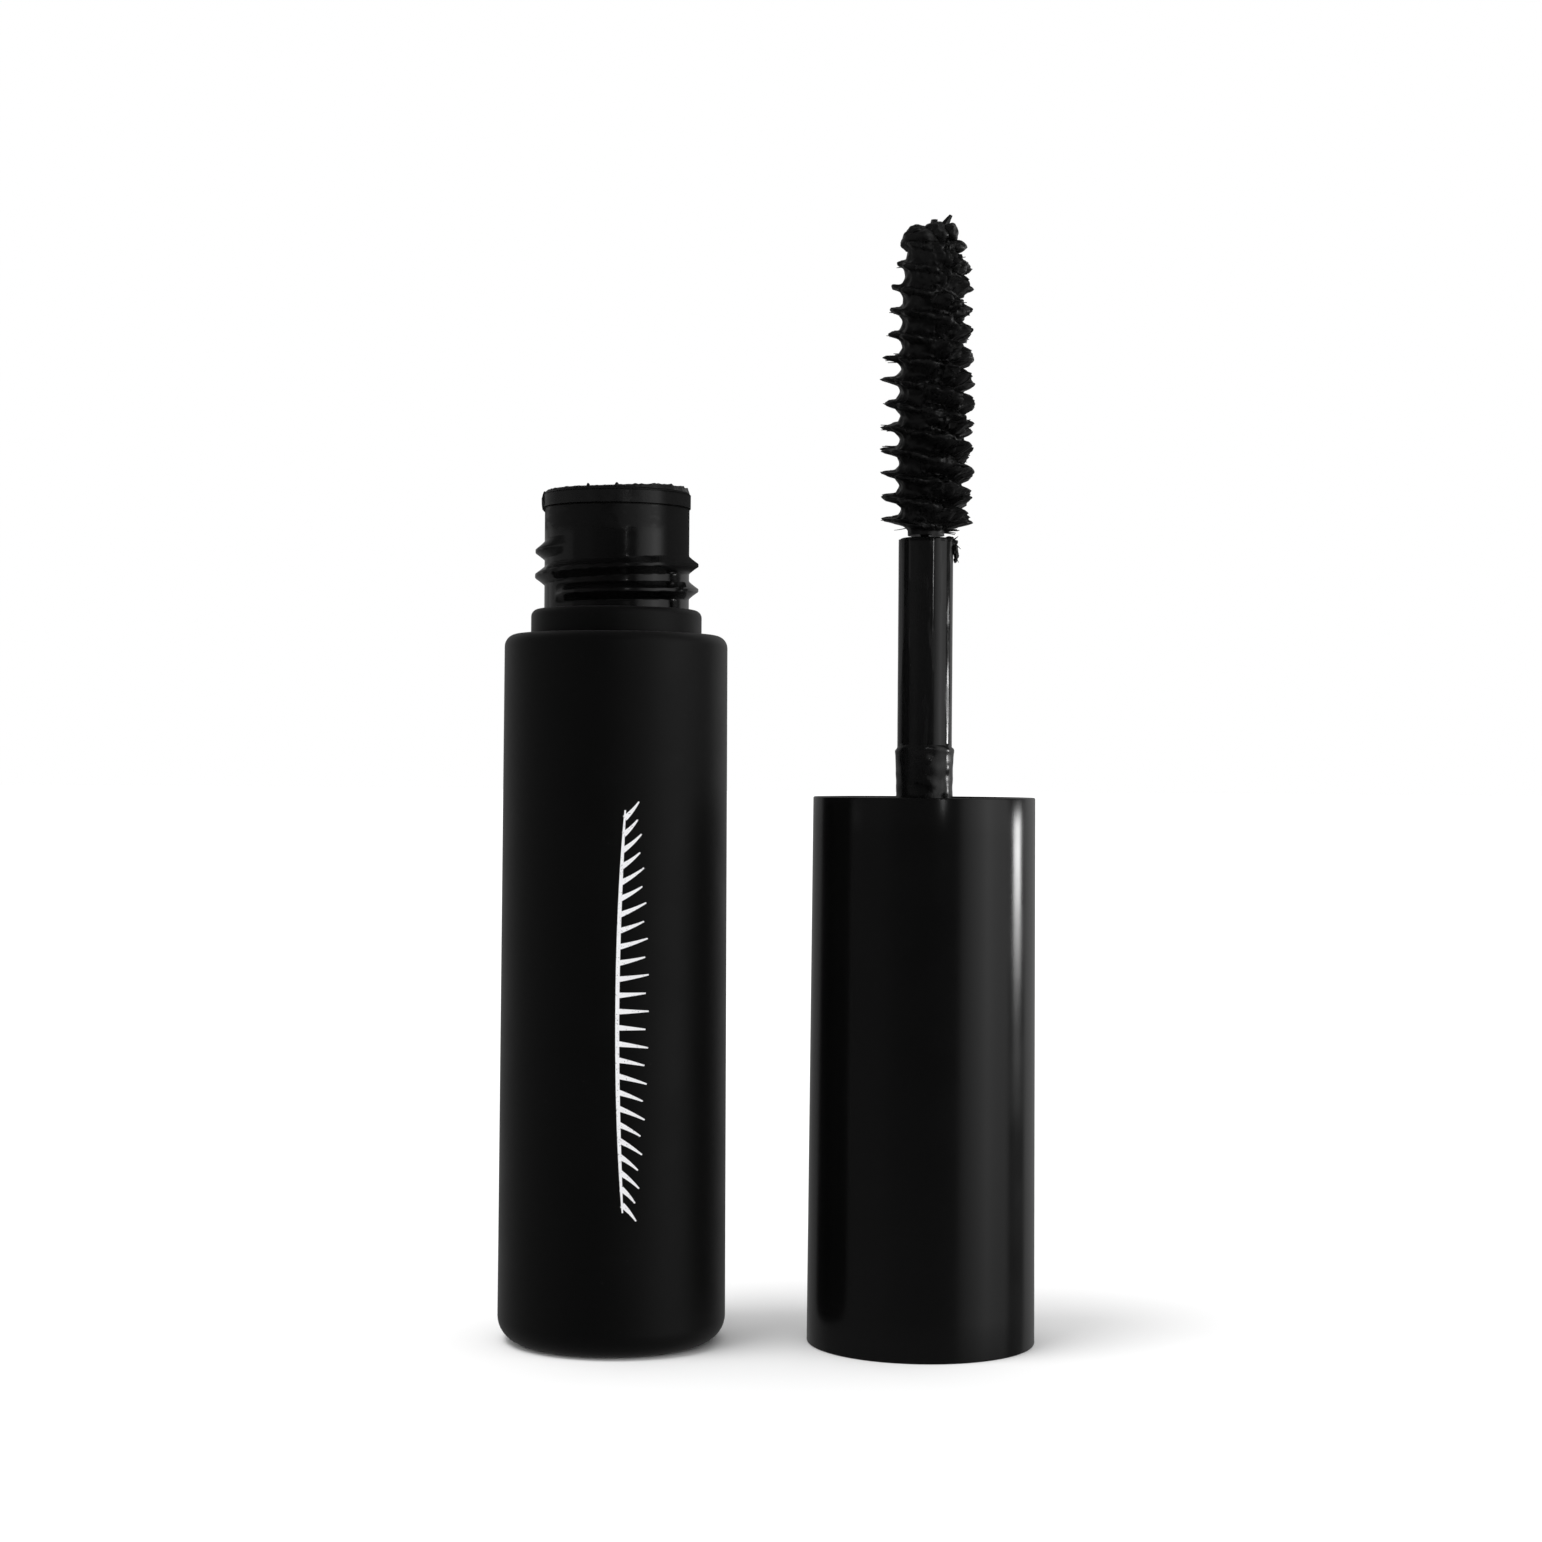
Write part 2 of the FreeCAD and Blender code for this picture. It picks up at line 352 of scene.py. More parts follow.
def spike(foot, tip, foot_r, tip_r, bow=(0, 0, 0)):
    """Points and faces of a thin tapered hair from foot to tip, bowed sideways by bow."""
    foot, tip, bow = np.array(foot, float), np.array(tip, float), np.array(bow, float)
    along = (tip - foot) / np.linalg.norm(tip - foot)
    side = np.cross(along, HAIR_SKEW)
    side /= np.linalg.norm(side)
    other = np.cross(along, side)
    points = []
    for i in range(HAIR_RINGS):
        t = i / (HAIR_RINGS - 1)
        centre = foot + (tip - foot) * t + bow * t * t
        radius = foot_r + (tip_r - foot_r) * t
        for j in range(HAIR_SIDES):
            a = 2 * math.pi * j / HAIR_SIDES
            points.append(centre + radius * (side * math.cos(a) + other * math.sin(a)))
    faces = grid_faces(HAIR_RINGS, HAIR_SIDES)
    faces.append(tuple(range(HAIR_SIDES))[::-1])
    faces.append(tuple(range((HAIR_RINGS - 1) * HAIR_SIDES, HAIR_RINGS * HAIR_SIDES)))
    return np.array(points), faces


def joined(parts):
    """One list of points and one of faces from several (points, faces) pairs."""
    points, faces, offset = [], [], 0
    for part_points, part_faces in parts:
        points.append(part_points)
        faces += [tuple(i + offset for i in f) for f in part_faces]
        offset += len(part_points)
    return np.concatenate(points), faces


# ============================ materials =======================================================
def node(tree, kind, inputs=None, **settings):
    """Adds a shader node, sets its properties, and fills or links its inputs by name or index."""
    made = tree.nodes.new(kind)
    for key, value in settings.items():
        setattr(made, key, value)
    for key, value in (inputs or {}).items():
        if isinstance(value, bpy.types.NodeSocket):
            tree.links.new(value, made.inputs[key])
        else:
            made.inputs[key].default_value = value
    return made


def math_node(tree, operation, *values, clamp=False):
    made = node(tree, "ShaderNodeMath", dict(enumerate(values)), operation=operation)
    made.use_clamp = clamp
    return made.outputs[0]


def noise_at(tree, place, size_mm, detail=2.0, stretch=(1, 1, 1)):
    """Noise from 0 to 1 with features of size_mm, drawn out along axes whose stretch is high."""
    scale = [1 / s for s in stretch]
    mapped = node(tree, "ShaderNodeMapping", {"Vector": place, "Scale": scale})
    made = node(tree, "ShaderNodeTexNoise",
                {"Vector": mapped.outputs[0], "Scale": 1 / (size_mm * MM), "Detail": detail})
    return made.outputs["Fac"]


def spread(tree, value, low, high, out_low, out_high):
    """Maps value from low..high to out_low..out_high, smoothly and held at the ends."""
    made = node(tree, "ShaderNodeMapRange", interpolation_type="SMOOTHSTEP")
    tree.links.new(value, made.inputs["Value"])
    ends = {"From Min": low, "From Max": high, "To Min": out_low, "To Max": out_high}
    for key, number in ends.items():
        made.inputs[key].default_value = number
    return made.outputs["Result"]


def along_mm(tree, place, axis):
    """Position along the X, Y or Z axis, in millimetres."""
    split = node(tree, "ShaderNodeSeparateXYZ", {0: place})
    return math_node(tree, "DIVIDE", split.outputs[axis], MM)


def side_smear(parts, above):
    """A dull coat of product on the right of the neck, above a height."""
    tree = parts["tree"]
    to_right = spread(tree, along_mm(tree, parts["place"], "X"),
                      BOTTLE_X + SMEAR_FROM, BOTTLE_X + SMEAR_FULL, 0.0, 1.0)
    high = spread(tree, along_mm(tree, parts["place"], "Z"), above, above + SMEAR_FADE, 0.0, 1.0)
    roughen(parts, math_node(tree, "MULTIPLY", to_right, high), SMEAR_ROUGHNESS)


def grey(value):
    return (value, value, value * 1.02, 1)


def surface(name, tones, roughness, blotch_mm, grain_mm, grain_depth_mm, **constants):
    """Principled material whose tone and roughness wander and whose grain is a fine bump.

    Returns the material and a dict of the sockets that a caller may build on.
    """
    material = bpy.data.materials.new(name)
    material.use_nodes = True
    tree = material.node_tree
    shader = tree.nodes["Principled BSDF"]
    place = node(tree, "ShaderNodeTexCoord").outputs["Object"]
    blotch = noise_at(tree, place, blotch_mm, 3.0)
    colour = node(tree, "ShaderNodeMix", {"Factor": blotch}, data_type="RGBA")
    colour.inputs["A"].default_value = grey(tones[0])
    colour.inputs["B"].default_value = grey(tones[1])
    gloss = spread(tree, blotch, 0.3, 0.7, roughness[0], roughness[1])
    bump = node(tree, "ShaderNodeBump",
                {"Height": noise_at(tree, place, grain_mm, 2.0), "Distance": grain_depth_mm * MM})
    tree.links.new(colour.outputs["Result"], shader.inputs["Base Color"])
    tree.links.new(gloss, shader.inputs["Roughness"])
    tree.links.new(bump.outputs["Normal"], shader.inputs["Normal"])
    for key, value in constants.items():
        shader.inputs[key.replace("_", " ")].default_value = value
    parts = {"tree": tree, "shader": shader, "place": place, "colour": colour.outputs["Result"],
             "roughness": gloss, "bump": bump}
    return material, parts


def roughen(parts, mask, roughness):
    """Raises the roughness to a given value where mask is 1."""
    tree = parts["tree"]
    mixed = node(tree, "ShaderNodeMix", {"Factor": mask, "A": parts["roughness"], "B": roughness})
    tree.links.new(mixed.outputs["Result"], parts["shader"].inputs["Roughness"])
    parts["roughness"] = mixed.outputs["Result"]


def recolour(parts, mask, value):
    tree = parts["tree"]
    mixed = node(tree, "ShaderNodeMix", {"Factor": mask}, data_type="RGBA")
    tree.links.new(parts["colour"], mixed.inputs["A"])
    mixed.inputs["B"].default_value = grey(value)
    tree.links.new(mixed.outputs["Result"], parts["shader"].inputs["Base Color"])
    parts["colour"] = mixed.outputs["Result"]


def emboss(parts, height, depth_mm):
    """Adds a second bump on top of the grain."""
    tree = parts["tree"]
    bump = node(tree, "ShaderNodeBump", {"Height": height, "Distance": depth_mm * MM,
                                         "Normal": parts["bump"].outputs["Normal"]})
    tree.links.new(bump.outputs["Normal"], parts["shader"].inputs["Normal"])
    parts["bump"] = bump


def soft_touch():
    """Matte rubbery lacquer of the body and collar, with faint dust."""
    material, parts = surface("soft_touch_lacquer", (0.0007, 0.0013), (0.44, 0.50),
                              5.0, 0.06, 0.004,
                              Specular_IOR_Level=0.3, Sheen_Weight=0.06, Sheen_Roughness=0.4)
    dust = noise_at(parts["tree"], parts["place"], 0.12, 1.0)
    recolour(parts, spread(parts["tree"], dust, 0.80, 0.86, 0.0, 1.0), 0.05)
    return material


def neck_gloss():
    """Bare glossy neck, smeared with product above the thread."""
    material, parts = surface("neck_gloss", (0.0010, 0.0018), (0.10, 0.15), 1.5, 0.25, 0.003)
    tree = parts["tree"]
    band = spread(tree, along_mm(tree, parts["place"], "Z"), BAND_LOW, BAND_FULL, 0.0, 1.0)
    patches = noise_at(tree, parts["place"], 0.9, 3.0, (1, 1, 0.6))
    patch = spread(tree, patches, 0.38, 0.60, 0.0, 1.0)
    smear = math_node(tree, "MULTIPLY", band, math_node(tree, "ADD", patch, 0.55), clamp=True)
    roughen(parts, smear, BAND_ROUGHNESS)
    side_smear(parts, SMEAR_LOW)
    emboss(parts, noise_at(tree, parts["place"], 0.35, 3.0), 0.004)
    return material


def cap_satin():
    """Moulded satin black with faint drag lines along its length."""
    material, parts = surface("cap_satin", (0.0014, 0.0022), (0.16, 0.20), 6.0, 0.07, 0.0012)
    lines = noise_at(parts["tree"], parts["place"], 0.10, 1.0, (1, 1, 40))
    emboss(parts, lines, 0.0006)
    return material


def rod_gloss():
    """Glossy stem, with long dried smears and a rougher coat of product at its foot."""
    material, parts = surface("rod_gloss", (0.0025, 0.0038), (0.06, 0.10), 1.2, 0.2, 0.002)
    tree = parts["tree"]
    streak = spread(tree, noise_at(tree, parts["place"], 0.7, 3.0, (1, 1, 7)), 0.50, 0.62, 0.0, 0.8)
    roughen(parts, streak, 0.34)
    coat = spread(tree, along_mm(tree, parts["place"], "Z"),
                  SLEEVE_TOP + 0.1, SLEEVE_TOP - 0.2, 0.0, 1.0)
    lumps = noise_at(tree, parts["place"], 0.5, 3.0)
    uneven = math_node(tree, "MULTIPLY", coat, spread(tree, lumps, 0.35, 0.65, 0.2, 1.0))
    roughen(parts, uneven, 0.3)
    return material


def wet_mascara():
    """Thick drying product: dark, lumpy, with small wet glints."""
    material, parts = surface("wet_mascara", (0.0016, 0.0040), (0.30, 0.62), 0.5, 0.07, 0.012,
                              Coat_Weight=0.25, Coat_Roughness=0.18)
    emboss(parts, noise_at(parts["tree"], parts["place"], 0.22, 3.0), 0.035)
    return material


def white_ink():
    """Printed white ink, slightly worn."""
    material, parts = surface("white_ink", (0.72, 0.84), (0.42, 0.55), 0.6, 0.05, 0.003)
    worn = noise_at(parts["tree"], parts["place"], 0.10, 2.0)
    recolour(parts, spread(parts["tree"], worn, 0.64, 0.70, 0.0, 1.0), 0.12)
    return material


def wiper_plastic():
    material, parts = surface("wiper_plastic", (0.0030, 0.0055), (0.24, 0.34), 0.8, 0.12, 0.006,
                              Specular_IOR_Level=0.4)
    side_smear(parts, NECK_TOP - 1)
    emboss(parts, noise_at(parts["tree"], parts["place"], 0.4, 3.0), 0.012)
    return material


def liner_plastic():
    return surface("liner_plastic", (0.005, 0.009), (0.25, 0.40), 1.5, 0.1, 0.002)[0]


def seal_foam():
    return surface("seal_foam", (0.035, 0.07), (0.7, 0.9), 0.6, 0.08, 0.015)[0]


def twisted_steel():
    return surface("twisted_steel", (0.25, 0.40), (0.25, 0.40), 0.5, 0.04, 0.002, Metallic=1.0)[0]


def filament_nylon():
    return surface("filament_nylon", (0.002, 0.005), (0.35, 0.55), 0.4, 0.05, 0.003)[0]


# ============================ bottle side =====================================================
def thread_rise(radius, height, angle):
    """Adds the screw ridge to the neck: rounded, with ends that run out."""
    turn = np.degrees(angle)
    rise = np.zeros_like(radius)
    end_deg = THREAD_START_DEG + 360 * THREAD_TURNS
    for lap in range(-1, 3):
        along = turn + 360 * lap
        centre = THREAD_START_Z + THREAD_PITCH * (along - THREAD_START_DEG) / 360
        settled = smoothstep(THREAD_START_DEG, THREAD_START_DEG + LIFT_DEG, along)
        centre += START_LIFT * (1 - settled)
        fade = smoothstep(THREAD_START_DEG, THREAD_START_DEG + RUN_IN_DEG, along)
        fade = fade * (1 - smoothstep(end_deg - RUN_OUT_DEG, end_deg, along))
        flank = (RIDGE_HALF - np.abs(height - centre)) / (RIDGE_HALF - CREST_HALF)
        rise = np.maximum(rise, fade * np.clip(flank, 0, 1) ** FLANK_POWER)
    on_neck = (radius > NECK_R - 0.01) & (height > COLLAR_TOP) & (height < NECK_TOP - 1)
    return radius + np.where(on_neck, rise * (THREAD_R - NECK_R), 0)


def make_bottle():
    """The moulding as one closed shell: matte outside, glossy neck, reservoir inside."""
    corners = [
        (0, 0),
        (BODY_BASE_R, 0),
        (BODY_SHOULDER_R, BODY_H),
        (COLLAR_R, BODY_H),
        (COLLAR_R, COLLAR_TOP),
        (NECK_R, COLLAR_TOP),
        (NECK_R, NECK_TOP),
        (BORE_R, NECK_TOP),
        (BORE_R, RESERVOIR_SHOULDER + SHOULDER_RIM_R),
        (RESERVOIR_R, RESERVOIR_SHOULDER),
        (RESERVOIR_R, RESERVOIR_FLOOR),
        (0, RESERVOIR_FLOOR),
    ]
    rims = {1: BASE_RIM_R, 2: SHOULDER_RIM_R, 4: COLLAR_RIM_R, 6: NECK_RIM_R, 10: BASE_RIM_R / 2}
    outline = outline_with_rims(corners, rims, steps=10, dense={1: 4.0, 5: 0.07})
    gloss_from = COLLAR_TOP - 0.01

    def pick(here, following):
        return int(min(here[1], following[1]) > gloss_from)

    finishes = [soft_touch(), neck_gloss()]
    piece = turned_piece("bottle_shell", BOTTLE_X, outline, WALL_COLUMNS, finishes,
                         "bottle", thread_rise, pick)
    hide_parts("bottle")


def make_wiper():
    """Sleeve with its rim, its throat lumpy with product."""
    corners = [
        (WIPER_BORE_R, FLANGE_TOP),
        (WIPER_BORE_R, WIPER_CONE_TOP),
        (WIPER_LIP_R, WIPER_LIP_Z),
        (WIPER_LIP_R + WIPER_LIP_WALL, WIPER_LIP_Z),
        (BORE_R, WIPER_CONE_TOP),
        (BORE_R, NECK_TOP),
        (FLANGE_R, NECK_TOP),
        (FLANGE_R, FLANGE_TOP),
    ]
    outline = outline_with_rims(corners, {0: 0.3, 7: 0.25}, close=True, steps=6,
                                dense={0: 0.25, 6: 0.15, 7: 0.25})

    def smeared(radius, height, angle):
        points = np.stack([radius * np.cos(angle), radius * np.sin(angle), height], axis=-1)
        inside = (radius < WIPER_BORE_R + 0.35) & (height > WIPER_CONE_TOP)
        return radius - np.where(inside, 0.10 * np.clip(wander(points, 1.1, 3) + 0.3, 0, 1), 0)

    piece = turned_piece("wiper_sleeve", BOTTLE_X, outline, WIPER_COLUMNS, [wiper_plastic()],
                         "bottle", smeared)
    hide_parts("wiper")


def make_rim_residue():
    """Dried product on the wiper's rim: a film that thickens to crumbs, and a lump at one side."""
    film = [(4.0, 0.02), (4.2, 0.10), (4.7, 0.12), (5.2, 0.12), (5.6, 0.10), (5.76, -0.02),
            (5.6, -0.2), (4.1, -0.2)]
    outline = [(r, FLANGE_TOP + z) for r, z in film]
    points = turned(BOTTLE_X, outline + outline[:1], FILM_COLUMNS)
    here = points - np.array([BOTTLE_X, 0, 0])
    thicker = smoothstep(-1.5, 5.0, here[..., 0])
    lumps = 0.20 + 0.18 * wander(here, 0.45, 12) + 0.10 * cells(here, 0.30, 14)
    thin_spots = 0.07 * np.clip(wander(here, 0.3, 13), 0, 1)
    on_top = here[..., 2] > FLANGE_TOP + 0.05
    points[..., 2] += np.where(on_top, lumps * thicker + thin_spots, 0)
    parts = [(points.reshape(-1, 3), grid_faces(len(outline) + 1, FILM_COLUMNS))]
    for index, (x, size) in enumerate([(-2.0, 0.13), (0.25, 0.16)]):
        y = -math.sqrt((FLANGE_R - 0.35) ** 2 - x * x)
        centre = (BOTTLE_X + x, y, FLANGE_TOP + 0.12)
        parts.append(blob(centre, (size, size, size * 1.3), 30 + index))
    side = (BOTTLE_X - FLANGE_R + 0.12, -0.4, FLANGE_TOP - 0.75)
    parts.append(blob(side, (0.27, 0.8, 0.85), 44, 0.3, 3))
    points, faces = joined(parts)
    add_piece("rim_residue", points, faces, [wet_mascara()], "bottle")


def body_radius(height):
    return BODY_BASE_R + (BODY_SHOULDER_R - BODY_BASE_R) * height / BODY_H


def ribbon(path, half_widths):
    """Closed thin ribbon of ink along (arc length, height) points on the body's wall."""
    path = np.array(path)
    tangent = np.gradient(path, axis=0)
    tangent /= np.linalg.norm(tangent, axis=1)[:, None]
    normal = np.stack([-tangent[:, 1], tangent[:, 0]], axis=1)
    points = []
    for centre, across, half in zip(path, normal, half_widths):
        for side, lift in ((1, INK_LIFT), (1, -INK_BITE), (-1, -INK_BITE), (-1, INK_LIFT)):
            arc, height = centre + side * half * across
            radius = body_radius(height)
            angle = PRINT_START + arc / radius
            reach = radius + lift
            points.append((BOTTLE_X + reach * math.sin(angle), -reach * math.cos(angle), height))
    faces = grid_faces(len(path), 4)
    faces.append((3, 2, 1, 0))
    faces.append(tuple(range(4 * len(path) - 4, 4 * len(path))))
    return np.array(points), faces


def lid_point(place):
    """Point of the bowed line, for a place that runs from -1 below to 1 above."""
    height = (PRINT_LOW + PRINT_HIGH) / 2 + place * (PRINT_HIGH - PRINT_LOW) / 2
    return LID_HALF + LID_BOW * place * place, height


def make_print():
    steps = np.linspace(0, 1, LASH_STEPS)
    places = np.linspace(-1, 1, LID_STEPS)
    line = [lid_point(place) for place in places]
    parts = [ribbon(line, LID_HALF * (1 - LID_TAPER * places**4))]
    for index in range(LASH_COUNT):
        place = (2 * index + 1) / LASH_COUNT - 1
        length = LASH_SHORT + LASH_SWELL * (1 - place * place) - EVERY_OTHER_SHORTER * (index % 2)
        turn = LASH_FAN * place
        arc, height = lid_point(place)
        path = [(arc + length * s * math.cos(turn),
                 height + length * s * math.sin(turn) + LASH_CURL * place * s * s) for s in steps]
        parts.append(ribbon(path, LASH_HALF * (1 - LASH_TAPER * steps)))
    points, faces = joined(parts)
    add_piece("lash_print", points, faces, [white_ink()], "bottle")


# ============================ cap side ========================================================
def make_outer_cap():
    corners = [
        (0, 0),
        (CAP_END_R, 0),
        (CAP_MOUTH_R, CAP_H),
        (CAP_BORE_R, CAP_H),
        (CAP_BORE_R, CAP_END_WALL),
        (0, CAP_END_WALL),
    ]
    rims = {1: CAP_EDGE, 2: CAP_EDGE, 3: CAP_EDGE}
    outline = outline_with_rims(corners, rims, steps=4, dense={1: 3.0})
    piece = turned_piece("cap_cover", CAP_X, outline, WALL_COLUMNS, [cap_satin()],
                         "cap_and_wand")
    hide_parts("outer_cap")


def make_rod():
    """Stem with dried product: a thin sleeve at its foot and faint runs above it."""
    corners = [(0, ROD_FOOT), (ROD_R, ROD_FOOT), (ROD_R, ROD_TOP), (0, ROD_TOP)]
    outline = outline_with_rims(corners, {2: 0.35}, steps=6, dense={1: 0.14})

    def coated(radius, height, angle):
        points = np.stack([radius * np.cos(angle), radius * np.sin(angle), height], axis=-1)
        edge = SLEEVE_TOP + 0.16 * np.cos(angle + 1.4) + 0.10 * wander(points, 1.5, 2)
        sleeve = 1 - smoothstep(edge - 0.10, edge + 0.05, height)
        lip = np.exp(-(((height - edge + 0.25) / 0.22) ** 2))
        waist = smoothstep(CAP_H + 0.6, edge - 0.4, height)
        thick = SLEEVE_THICK * (0.45 + 0.35 * waist + 0.35 * lip + 0.45 * wander(points, 0.9, 4))
        runs = 0.02 * np.clip(wander(points * np.array([1, 1, 0.2]), 0.7, 6) - 0.1, 0, 1)
        wall = radius > ROD_R - 0.01
        return radius + np.where(wall, sleeve * np.clip(thick, 0.01, 1) + runs, 0)

    piece = turned_piece("rod_stem", CAP_X, outline, ROD_COLUMNS, [rod_gloss()],
                         "cap_and_wand", coated)
    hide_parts("rod")


def make_shoulder_clump():
    """Dried clump that hangs on one side of the rod's top, with loose hairs in it."""
    lumps = [
        ((2.10, 0.10, 63.55), (0.42, 0.55, 0.38)),
        ((2.30, -0.15, 63.00), (0.26, 0.42, 0.42)),
        ((2.42, -0.05, 62.55), (0.20, 0.30, 0.34)),
        ((2.36, 0.20, 62.20), (0.14, 0.24, 0.26)),
        ((1.80, -0.50, 63.85), (0.34, 0.36, 0.20)),
    ]
    parts = blobs(CAP_X, lumps, 40, 0.35, 3)
    hairs = [
        ((2.2, -0.1, 63.6), (2.75, -0.2, 63.05)),
        ((2.3, 0.0, 62.6), (2.62, 0.1, 62.0)),
        ((2.2, -0.2, 63.8), (2.55, -0.3, 64.05)),
    ]
    for foot, tip in hairs:
        foot = (CAP_X + foot[0], *foot[1:])
        tip = (CAP_X + tip[0], *tip[1:])
        parts.append(spike(foot, tip, 0.07, 0.02))
    points, faces = joined(parts)
    add_piece("shoulder_clump", points, faces, [wet_mascara()], "cap_and_wand")


# ============================ brush ===========================================================
def lean(height):
    """The brush bends a little to the right towards its tip."""
    return BRUSH_LEAN * smoothstep(BEND_FROM, BEND_TO, height)


def make_brush_wire():
    """Two strands twisted left-handed round each other, one cut shorter at the tip."""
    strand_r = WIRE_R / 2
    parts = []
    for start, top in enumerate((WIRE_TOP - WIRE_CUT, WIRE_TOP)):
        points = []
        for height in np.linspace(WIRE_FOOT, top, STRAND_ROWS):
            turn = math.pi * start - 2 * math.pi * (height - WIRE_FOOT) / FIN_LEAD
            out = np.array([math.cos(turn), math.sin(turn), 0])
            across = np.array([-math.sin(turn), math.cos(turn), 0])
            centre = np.array([CAP_X + lean(height), 0, height]) + strand_r * out
            for j in range(STRAND_SIDES):
                a = 2 * math.pi * j / STRAND_SIDES
                points.append(centre + strand_r * (out * math.cos(a) + across * math.sin(a)))
        faces = grid_faces(STRAND_ROWS, STRAND_SIDES)
        faces.append(tuple(range(STRAND_SIDES))[::-1])
        faces.append(tuple(range(STRAND_SIDES * (STRAND_ROWS - 1), STRAND_SIDES * STRAND_ROWS)))
        parts.append((np.array(points), faces))
    points, faces = joined(parts)
    piece = add_piece("wire_strands", points, faces, [twisted_steel()],
                      "cap_and_wand")
    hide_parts("brush_wire")


def tip_radius(height):
    """How far the fins reach at a height: straight below, tapering above."""
    heights = [FIN_LOW, 72.8, 76.6, 78.6, 82.3, 84.1, 85.7, 87.6, 88.6]
    radii = [BRUSH_R, BRUSH_R, 3.55, 3.45, 3.2, 3.0, 2.8, 2.5, 1.8]
    return np.interp(height, heights, radii)


def valley_radius(height, right):
    """How far out the gaps between fins are filled, a little less on the right."""
    heights = [BRUSH_FOOT, FIN_LOW - 0.35, FIN_LOW + 0.5, 67.0, 84.0, 87.0, FIN_HIGH]
    left_side = [1.45, 1.62, 2.0, 2.15, 2.15, 1.85, 0.9]
    right_side = [1.45, 1.62, 2.0, 2.12, 2.10, 1.80, 0.9]
    on_left = np.interp(height, heights, left_side)
    return on_left + right * (np.interp(height, heights, right_side) - on_left)


def make_fins():
    """Bristles clogged into two wound fins: blunt cusps on the left, ragged lobes on the right."""
    angle, height = np.meshgrid(
        np.arange(FIN_COLUMNS) * 2 * math.pi / FIN_COLUMNS,
        np.linspace(BRUSH_FOOT - 0.4, FIN_HIGH, FIN_ROWS),
    )
    place = np.stack([FIN_NOISE_R * np.cos(angle), FIN_NOISE_R * np.sin(angle), height], axis=-1)
    right = smoothstep(-0.5, 0.6, np.cos(angle) + 0.3 * wander(place, 2.0, 20))
    drift = (0.12 + 0.14 * right) * wander(place, 1.5, 21) + 0.07 * wander(place, 0.5, 22)
    turns = (height + drift - FIN_LOW) / FIN_LEAD + (angle - math.pi) / (2 * math.pi)
    starts = turns * FIN_STARTS
    offset = 2 * np.abs(starts - np.round(starts))
    cusp = 0.42 * (1 - smoothstep(0.17, 0.32, offset)) + 0.58 * (1 - offset) ** 1.8
    swell = 1.8 + 1.3 * wander(place, 0.9, 23)
    notch = 0.45 * smoothstep(0.5, 0.9, cells(place, 0.32, 24)) * offset
    lobe = np.clip(1 - offset**swell - notch, 0, 1)
    ragged = 0.96 + 0.26 * wander(place, 0.9, 25) + 0.06 * wander(place, 0.35, 26)
    ragged -= right * 0.12 * cells(place, 0.38, 27)
    reach = np.minimum(tip_radius(height) * ragged * (1 + 0.08 * right), BRUSH_R * 1.05)
    valley = valley_radius(height, right) * (1 + 0.05 * wander(place, 0.8, 28))
    shown = smoothstep(FIN_LOW - 0.9, FIN_LOW - 0.1, height)
    shown = shown * (1 - smoothstep(FIN_HIGH - 0.8, FIN_HIGH, height))
    share = (cusp * (1 - right) + lobe * right) * shown
    radius = valley + (reach - valley) * share
    bend = (0.10 + 0.20 * wander(place, 1.1, 29)) * share**2 * shown
    middle = CAP_X + lean(height)
    points = np.stack([middle + radius * np.cos(angle), radius * np.sin(angle), height + bend],
                      axis=-1)
    faces = grid_faces(FIN_ROWS, FIN_COLUMNS)
    faces.append(tuple(range(FIN_COLUMNS))[::-1])
    faces.append(tuple(range((FIN_ROWS - 1) * FIN_COLUMNS, FIN_ROWS * FIN_COLUMNS)))
    piece = add_piece("brush_fins", points.reshape(-1, 3), faces, [wet_mascara()], "cap_and_wand",
                      sharp_deg=60)
    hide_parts("bristles")


def make_filaments():
    """Single hairs that stand a little out of the fins."""
    rng = np.random.default_rng(FILAMENT_SEED)
    parts = []
    turns = FIN_STARTS * (FIN_HIGH - 1 - FIN_LOW) / FIN_LEAD
    for index in range(int(FILAMENTS_PER_TURN * turns)):
        lap = index / FILAMENTS_PER_TURN
        start = index % FIN_STARTS
        angle = math.pi + math.pi * start - 2 * math.pi * lap / FIN_STARTS + rng.normal(0, 0.04)
        height = FIN_LOW + FIN_LEAD * lap / FIN_STARTS
        spread_z = 0.09 + 0.13 * (0.5 + 0.5 * math.cos(angle))
        reach = min(float(tip_radius(height)) * rng.uniform(0.86, 1.02), BRUSH_R * 1.02)
        out = np.array([math.cos(angle), math.sin(angle), 0])
        middle = np.array([CAP_X + float(lean(height)), 0, height + rng.normal(0, spread_z)])
        tip = middle + out * reach + np.array([0, 0, rng.normal(0, 0.08)])
        parts.append(spike(middle + out * 1.2, tip, 0.06, 0.03, bow=(0, 0, rng.normal(0, 0.06))))
    points, faces = joined(parts)
    add_piece("bristle_filaments", points, faces, [filament_nylon()],
              "cap_and_wand")


